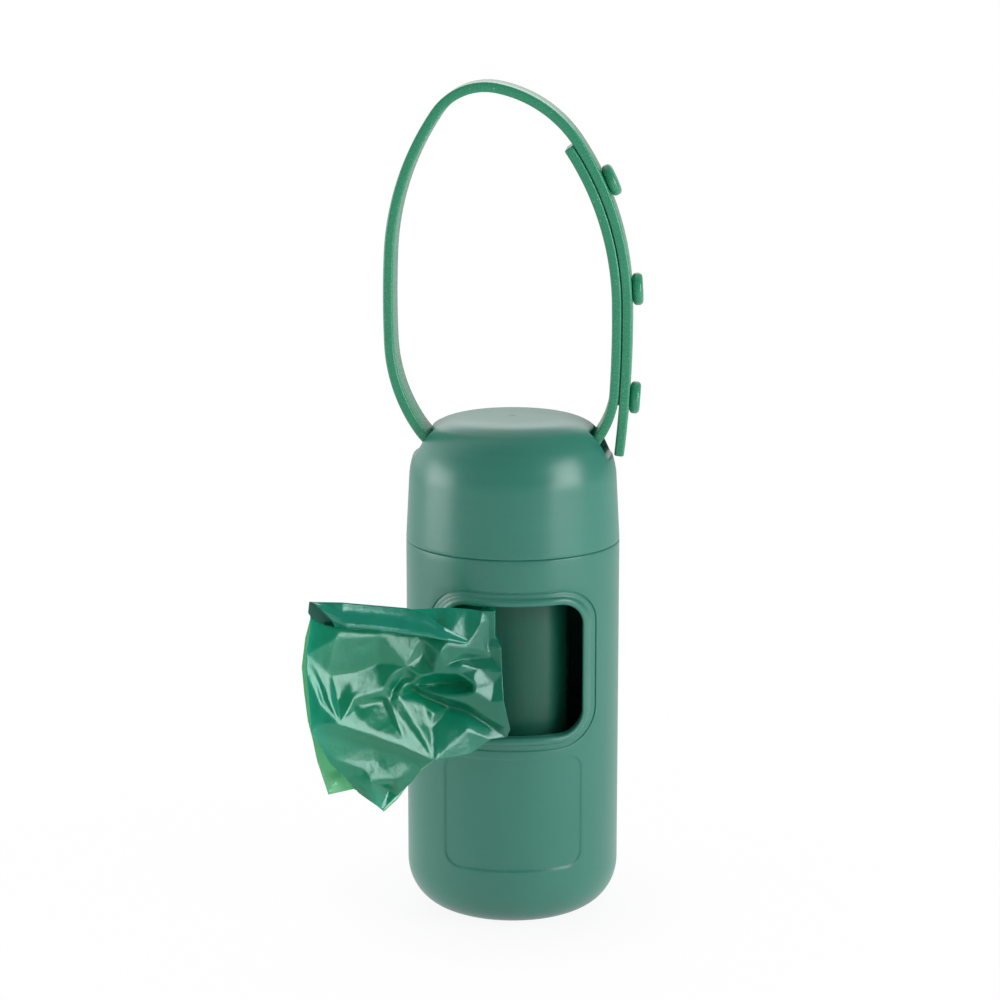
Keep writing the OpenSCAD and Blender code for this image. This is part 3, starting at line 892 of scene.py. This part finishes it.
BACK_CREASES = [
    [(-40.1, 62, -1.2), (-30, 60.5, -2.4), (-14, 54, -3)],
    [(-36, 57.2, -3.6), (-26, 55.8, -4.2), (-14.5, 52.6, -4)],
    [(-40.2, 51, -0.6), (-28, 51, -2.5), (-15, 51, -3.2)],
    [(-34, 45.6, -3.6), (-25, 46.4, -4.3), (-16, 49.4, -4)],
    [(-38.6, 41.6, -1.2), (-31.5, 40.6, -2.3), (-24, 42, -2.7), (-16.5, 46.5, -3.2)],
    [(-32, 37.2, -3.2), (-25.5, 36, -3.8), (-18.5, 42.5, -4)],
    [(-36.9, 34.8, -1.2), (-33.5, 34.5, -0.7), (-31.1, 32, -1.6)],
]
# Its finish: the share of each crease that stays sharp, the passes that soften the rest and those that
# soften the sharp share, and the depth where two creases cross
SHARP_SHARE = 0.45
SOFT_PASSES = 40
SHARP_PASSES = 3
CROSSING_DEPTH = 0.5


def polyline(nodes, share):
    """Points at even shares of a polyline's length in s and z."""
    nodes = np.asarray(nodes, float)
    length = run_length(nodes[:, :2])
    return np.stack([np.interp(share * length[-1], length, nodes[:, k]) for k in (0, 1)], -1)


def sheet_between(edges, columns, rows):
    """A Coons patch: the two pairs of edges blended, less the blend of the four corners."""
    u, v = np.linspace(0, 1, columns), np.linspace(0, 1, rows)
    left, right = (polyline(edge, v)[:, None] for edge in edges[:2])
    top, bottom = (polyline(edge, u)[None] for edge in edges[2:])
    u, v = u[None, :, None], v[:, None, None]
    corners = between(between(top[:, :1], top[:, -1:], u), between(bottom[:, :1], bottom[:, -1:], u), v)
    return between(top, bottom, v) + between(left, right, u) - corners


def facet_depth(sz, lines):
    """Depth at (s, z): flat between the nodes of a triangulation that keeps every crease as an edge.
    A point takes the triangle in which its least barycentric share is largest."""
    nodes = sorted({node for line in lines for node in line})
    index = {node: i for i, node in enumerate(nodes)}
    edges = [(index[a], index[b]) for line in lines for a, b in zip(line, line[1:])]
    corners, _, faces, origins, *_ = delaunay_2d_cdt([Vector(node[:2]) for node in nodes], edges, [], 0, 1e-4)
    corners = np.array([tuple(corner) for corner in corners])
    depth = np.array([nodes[o[0]][2] if o else CROSSING_DEPTH for o in origins])
    best = np.full(sz.shape[:-1], -np.inf)
    result = np.zeros(sz.shape[:-1])
    for face in faces:
        a, b, c = corners[face]
        share = (sz - a) @ np.linalg.inv(np.stack([b - a, c - a], -1)).T
        weights = np.stack([1 - share.sum(-1), share[..., 0], share[..., 1]], -1)
        least = weights.min(-1)
        result = np.where(least > best, weights @ depth[face], result)
        best = np.maximum(best, least)
    return result


def crinkle(sz, height, seed):
    """Fine crinkles: height / 3 * the sum of (|saw(k . p)| - 1 / 2) over nine directions, each fading
    in and out along its own ridges."""
    random = np.random.default_rng(seed)
    total = np.zeros(sz.shape[:-1])
    for _ in range(9):
        angle, phase = random.uniform(0, np.pi), random.uniform(0, 9, 2)
        across = sz @ [np.cos(angle), np.sin(angle)] / random.uniform(1.8, 4.5) + phase[0]
        along = sz @ [-np.sin(angle), np.cos(angle)] / random.uniform(5, 9) + phase[1]
        total += (np.abs(across % 2 - 1) - 0.5) * np.clip(np.sin(along) + 0.3 * np.sin(2.3 * across), 0, 1)
    return total * height / 3


def in_bag_plane(nodes):
    """(s, z, depth) as points: the place in the leaning plane plus the bent depth along DEPTH_WAY."""
    s, z, depth = np.moveaxis(np.asarray(nodes, float), -1, 0)
    depth = depth + BEND * np.maximum(BEND_S - s, 0) ** 2 - PIVOT * (z - PIVOT_Z) * np.clip(-s / 15, 0, 1)
    flat = np.stack([s * math.cos(BAG_LEAN), s * math.sin(BAG_LEAN) - BAG_Y, z], -1)
    return flat + depth[..., None] * DEPTH_WAY


def softened(grid, passes):
    """A grid of numbers with each point moved half way to its neighbours' mean, some times over."""
    for _ in range(passes):
        p = np.pad(grid, 1, mode="edge")
        grid = grid / 2 + (p[:-2, 1:-1] + p[2:, 1:-1] + p[1:-1, :-2] + p[1:-1, 2:]) / 8
    return grid


def creased_sheet(edges, creases, relief, columns, rows, fine, seed):
    """A sheet between its left, right, top and bottom edges: gently curved from crease to crease, part
    of each crease left sharp, with fine crinkles."""
    sz = sheet_between(edges, columns, rows)
    facets = facet_depth(sz, edges + creases) * relief
    depth = between(softened(facets, SOFT_PASSES), softened(facets, SHARP_PASSES), SHARP_SHARE)
    depth = softened(depth + crinkle(sz, fine, seed), 1)
    return in_bag_plane(np.concatenate([sz, depth[..., None]], -1))


def turned_back(sheet, target, bulge, steps):
    """The sheet with its right edge carried back to target (x, y), bulged sideways on the way."""
    edge = sheet[:, -1]
    share = np.linspace(0, 1, steps + 1)[1:, None, None]
    ends = np.concatenate([np.broadcast_to(target, (len(edge), 2)), edge[:, 2:]], 1)
    wrap = between(edge, ends, share) + np.sin(np.pi * share) * [bulge, 0, 0]
    return np.concatenate([sheet, wrap.transpose(1, 0, 2)], 1)


def flap_tube(columns, rows):
    """The flap: straight between its rim ring and its sections. A section goes round by an angle a from
    its top. Its height is half * (1 - 2 sin(a / 2)) over the middle, and its depth, fullest near the
    foot, is thickness * sin a * (1 - 0.8 cos a)."""
    a = np.linspace(0, 2 * np.pi, rows)
    rim = np.array(FLAP_RIM + FLAP_RIM[:1], float)
    rim_a = np.linspace(0, 2 * np.pi, len(rim))
    rings = [np.stack([np.interp(a, rim_a, rim[:, k]) for k in range(3)], -1)]
    for top, foot, depth, thick in FLAP_SECTIONS:
        top, foot = np.array(top), np.array(foot)
        middle, half = (top + foot) / 2, (top - foot) / 2
        sz = middle + (1 - 2 * np.sin(a / 2))[:, None] * half
        rings.append(np.concatenate([sz, (depth + thick * np.sin(a) * (1 - 0.8 * np.cos(a)))[:, None]], -1))
    rings = np.stack(rings)
    at = np.linspace(0, len(rings) - 1, columns)
    low = np.minimum(at.astype(int), len(rings) - 2)
    share = (at - low)[:, None, None]
    tube = between(rings[low], rings[low + 1], share)
    tube[..., 2] += crinkle(tube[..., :2] * [0.35, 1], 0.12, 8)
    return in_bag_plane(tube)


def loose_turn(columns, rows):
    """The film where it leaves the roll. Its radius round the roll's axis is the roll's own plus
    height * (1 + cos(pi * (a - middle) / half width)) / 2, a loose bulge towards the window."""
    a = np.radians(np.linspace(*TURN_SPAN, columns))[:, None]
    z = np.linspace(ROLL_Z + 0.4, ROLL_Z + ROLL_L - 0.4, rows)
    off = np.clip((a - radians(TURN_AT)) / radians(TURN_HALF), -1, 1)
    waver = 0.03 * np.sin(z * 0.35 + 2 * a) + 0.012 * np.sin(z * 2.1 - 5 * a)
    r = ROLL_R + 0.15 + TURN_H * (1 + np.cos(np.pi * off)) / 2 + waver
    return around(r, a, z) + [ROLL_X, 0, 0]


def build_pulled_bag(double, single, folded, wound):
    """The bag's sheets: the folded front, the layer behind, the flap along the top and the loose turn."""
    front = creased_sheet([BAG_LEFT, BAG_RIGHT, BAG_TOP, BAG_BOTTOM], BAG_CREASES, relief=1.8,
                          columns=210, rows=200, fine=0.16, seed=3)
    back = creased_sheet([BACK_LEFT, BACK_RIGHT, BACK_TOP, BACK_BOTTOM], BACK_CREASES, relief=1.5,
                         columns=110, rows=120, fine=0.3, seed=5)
    front = turned_back(front, target=(-6.5, -14.2), bulge=1.3, steps=16)
    back = turned_back(back, target=(-11.3, -12.6), bulge=-0.2, steps=10)
    flap = flap_tube(columns=150, rows=64)
    turn = loose_turn(columns=90, rows=100)
    for name, points, material in (("bag_front", front, double), ("bag_back", back, single),
                                 ("bag_flap", flap, folded), ("bag_turn", turn, wound)):
        made = add_piece(name, [(points, quads(*points.shape[:2])[:, ::-1])], material, "housing",
                         closed=False, sharp=180)
        film = made.modifiers.new("film", "SOLIDIFY")
        film.thickness = FILM_T * MM
        film.offset = 0
    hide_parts("pulled_bag")


# ---- stage

def light_paths(n):
    """1 for rays from the camera, and 1 for mirrored rays."""
    return n.node("LightPath", out="Is Camera Ray"), n.node("LightPath", out="Is Glossy Ray")


def floor_paper(n):
    """Pale paper. It glows white for the camera, but for a small share near the object that keeps its
    soft shadow, and for mirrored rays it glows near the object only."""
    seen, mirrored = light_paths(n)
    place = n.node("TexCoord", out="Object")
    away = n.node("VectorMath", {"operation": "LENGTH"}, {0: place}, out="Value")
    far = n.ramp(away, (0.022, 0.91), (0.045, 0.98), (0.2, 1.0))
    near = n.ramp(away, (0.03, 0.75), (0.11, 0.0))
    paper = n.node("BsdfDiffuse", {}, {"Color": (0.85, 0.85, 0.85, 1)})
    glow = n.node("Emission", {}, {"Color": (1, 1, 1, 1), "Strength": 1.0})
    n.surface(n.node("MixShader", {}, {0: seen * far + mirrored * near, 1: paper, 2: glow}))


def build_floor():
    """A square of floor round the origin."""
    corners = np.array([[-1, -1, 0], [1, -1, 0], [1, 1, 0], [-1, 1, 0]]) * FLOOR_HALF * MM
    mesh = bpy.data.meshes.new("floor")
    mesh.from_pydata(corners.tolist(), [], [[0, 1, 2, 3]])
    mesh.materials.append(finish("floor_paper", floor_paper))
    floor = add_object("floor", mesh)


def build_studio():
    """A world that is white to the camera. It lights the object from behind more than from in front,
    and mirrored rays see it bright behind and to the left, and dim in front and to the right."""
    world = bpy.data.worlds.new("studio")
    world.use_nodes = True
    bpy.context.scene.world = world
    n = Nodes(world.node_tree)
    seen, mirrored = light_paths(n)
    direction = n.node("TexCoord", out="Generated")
    right, back = (n.node("SeparateXYZ", {}, {"Vector": direction}, out=axis) * 0.5 + 0.5 for axis in "XY")
    sides = n.ramp(right, (0.1, 1.0), (0.85, 0.12))
    depths = n.ramp(back, (0.35, 0.2), (0.6, 1.0))
    backdrop = n.ramp(back, (0.72, 0.42), (0.92, 2.2))
    level = backdrop + mirrored * (sides * depths * 1.3 - backdrop)
    lit = n.node("Background", {}, {"Color": (1, 1, 1, 1), "Strength": level})
    white = n.node("Background", {}, {"Color": (1, 1, 1, 1), "Strength": 1.0})
    n.surface(n.node("MixShader", {}, {0: seen, 1: lit, 2: white}), "OutputWorld")


def build_lamps():
    """The soft boxes, each aimed at the object's middle. Its energy is pi * level * area."""
    for name, azimuth, elevation, width, height, level in LAMPS:
        lamp = bpy.data.lights.new(name, "AREA")
        lamp.shape = "RECTANGLE"
        lamp.size = width * MM
        lamp.size_y = height * MM
        lamp.energy = level * math.pi * lamp.size * lamp.size_y
        a, e = radians(azimuth), radians(elevation)
        toward = Vector((math.sin(a) * math.cos(e), -math.cos(a) * math.cos(e), math.sin(e)))
        holder = add_object(name, lamp)
        holder.location = (toward * LAMP_AWAY + Vector((0, 0, LAMP_AIM_Z))) * MM
        holder.rotation_mode = "QUATERNION"
        holder.rotation_quaternion = toward.to_track_quat("Z", "Y")


def build_camera():
    """The camera in front, a little above and tipped down, and the plain view transform."""
    camera = bpy.data.cameras.new("camera")
    camera.lens = CAMERA_LENS
    camera.clip_start = 0.01
    camera.clip_end = 20
    holder = add_object("camera", camera)
    holder.location = [c * MM for c in CAMERA_AT]
    holder.rotation_euler = (math.pi / 2 - CAMERA_TIP, 0, 0)
    scene = bpy.context.scene
    scene.camera = holder
    scene.view_settings.view_transform = "Standard"


body_green = (0.034, 0.225, 0.165)
strap_green = (0.03, 0.3, 0.16)
body_plastic = finish("body_plastic", moulded_plastic, body_green, 0.2)
cap_plastic = finish("cap_plastic", moulded_plastic, body_green, 0.45)
strap_silicone = finish("strap_silicone", silicone, strap_green)
film_emerald = finish("film_emerald", bag_film, (0.003, 0.16, 0.11), (0.15, 1.0, 0.8), 0.47)
# The flap's film, with shade painted inside its open end.
film_folded = finish("film_folded", bag_film, (0.003, 0.3, 0.2), (0.07, 0.8, 0.62), 0.3, painted_flap_shade)
film_single = finish("film_single", bag_film, (0.15, 0.42, 0.27), (0.5, 0.92, 0.62), 0.5)
roll_film = finish("roll_film", wound_film, (0.008, 0.125, 0.08))
core_paper = finish("core_paper", core_board, (0.45, 0.36, 0.25))

build_body(body_plastic)
build_thread(body_plastic)
build_cap(cap_plastic)
build_strap(strap_silicone)
build_studs(strap_silicone)
build_roll(roll_film)
build_pulled_bag(film_emerald, film_single, film_folded, roll_film)
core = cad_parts["roll_core"]
core.data.materials.clear()
core.data.materials.append(core_paper)
build_floor()
build_studio()
build_lamps()
build_camera()
